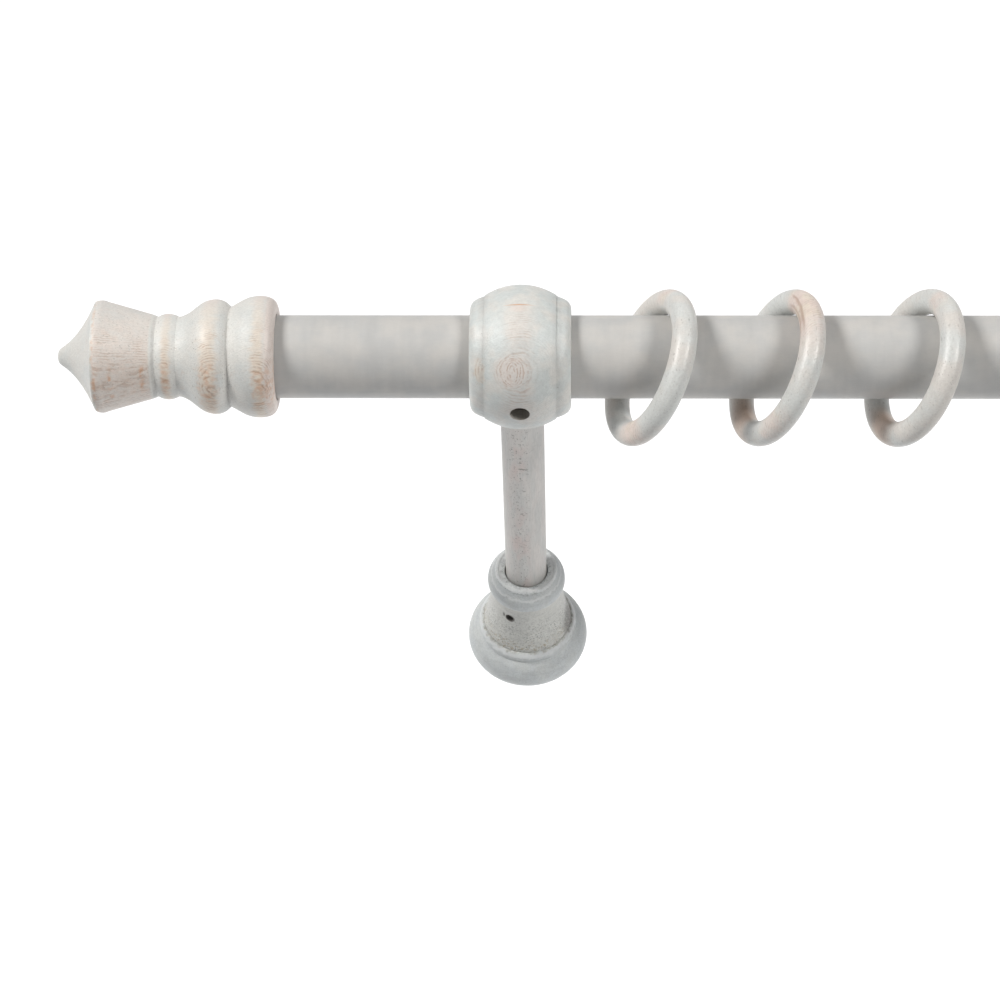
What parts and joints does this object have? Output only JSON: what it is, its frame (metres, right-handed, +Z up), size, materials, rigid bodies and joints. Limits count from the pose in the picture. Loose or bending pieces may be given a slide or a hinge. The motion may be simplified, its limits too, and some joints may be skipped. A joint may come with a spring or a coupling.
{
  "type": "wooden curtain rod",
  "caption": "Round wooden curtain rod with turned cup-shaped end finials, turned wall brackets on dowel stems and plain wooden rings that slide along the rod, in a whitewashed finish.",
  "frame": {"origin": "on the wall face, midway between the two wall screw holes and level with the rod's axis", "axes": "+X along the rod, +Y into the wall, +Z up"},
  "size_m": [1.3004, 0.1996, 0.0561],
  "materials": {
    "rod_paint": "satin warm grey coat over wood",
    "washed_beech": "matt whitewash rubbed through to pink beech on the edges",
    "stem_wood": "thin greyish wash with short dark grain flecks",
    "base_wood": "cool grey wash with speckled grain",
    "ring_wood": "matt grey-white wash with pinkish rubbed patches",
    "screw_steel": "zinc-plated steel"
  },
  "bodies": {
    "rod_set": {"rod": "rod_paint", "finial_left": "washed_beech", "holder_left": "washed_beech", "stem_left": "stem_wood", "base_left": "base_wood", "rod_screw_left": "screw_steel", "stem_screw_left": "screw_steel", "finial_right": "washed_beech", "holder_right": "washed_beech", "stem_right": "stem_wood", "base_right": "base_wood", "rod_screw_right": "screw_steel", "stem_screw_right": "screw_steel"},
    "ring_left_1": {"ring_left_1": "ring_wood"},
    "ring_left_2": {"ring_left_2": "ring_wood"},
    "ring_left_3": {"ring_left_3": "ring_wood"},
    "ring_left_4": {"ring_left_4": "ring_wood"},
    "ring_left_5": {"ring_left_5": "ring_wood"},
    "ring_left_6": {"ring_left_6": "ring_wood"},
    "ring_right_1": {"ring_right_1": "ring_wood"},
    "ring_right_2": {"ring_right_2": "ring_wood"},
    "ring_right_3": {"ring_right_3": "ring_wood"},
    "ring_right_4": {"ring_right_4": "ring_wood"},
    "ring_right_5": {"ring_right_5": "ring_wood"},
    "ring_right_6": {"ring_right_6": "ring_wood"}
  },
  "joints": [
    {"name": "ring_left_1_slide", "type": "slide", "parent": "rod_set", "child": "ring_left_1", "axis": [1, 0, 0], "range_m": [-0.01, 0.016]},
    {"name": "ring_left_2_slide", "type": "slide", "parent": "rod_set", "child": "ring_left_2", "axis": [1, 0, 0], "range_m": [-0.016, 0.016]},
    {"name": "ring_left_3_slide", "type": "slide", "parent": "rod_set", "child": "ring_left_3", "axis": [1, 0, 0], "range_m": [-0.016, 0.016]},
    {"name": "ring_left_4_slide", "type": "slide", "parent": "rod_set", "child": "ring_left_4", "axis": [1, 0, 0], "range_m": [-0.016, 0.016]},
    {"name": "ring_left_5_slide", "type": "slide", "parent": "rod_set", "child": "ring_left_5", "axis": [1, 0, 0], "range_m": [-0.016, 0.016]},
    {"name": "ring_left_6_slide", "type": "slide", "parent": "rod_set", "child": "ring_left_6", "axis": [1, 0, 0], "range_m": [-0.016, 0.195]},
    {"name": "ring_right_1_slide", "type": "slide", "parent": "rod_set", "child": "ring_right_1", "axis": [1, 0, 0], "range_m": [-0.016, 0.01]},
    {"name": "ring_right_2_slide", "type": "slide", "parent": "rod_set", "child": "ring_right_2", "axis": [1, 0, 0], "range_m": [-0.016, 0.016]},
    {"name": "ring_right_3_slide", "type": "slide", "parent": "rod_set", "child": "ring_right_3", "axis": [1, 0, 0], "range_m": [-0.016, 0.016]},
    {"name": "ring_right_4_slide", "type": "slide", "parent": "rod_set", "child": "ring_right_4", "axis": [1, 0, 0], "range_m": [-0.016, 0.016]},
    {"name": "ring_right_5_slide", "type": "slide", "parent": "rod_set", "child": "ring_right_5", "axis": [1, 0, 0], "range_m": [-0.016, 0.016]},
    {"name": "ring_right_6_slide", "type": "slide", "parent": "rod_set", "child": "ring_right_6", "axis": [1, 0, 0], "range_m": [-0.195, 0.016]}
  ]
}
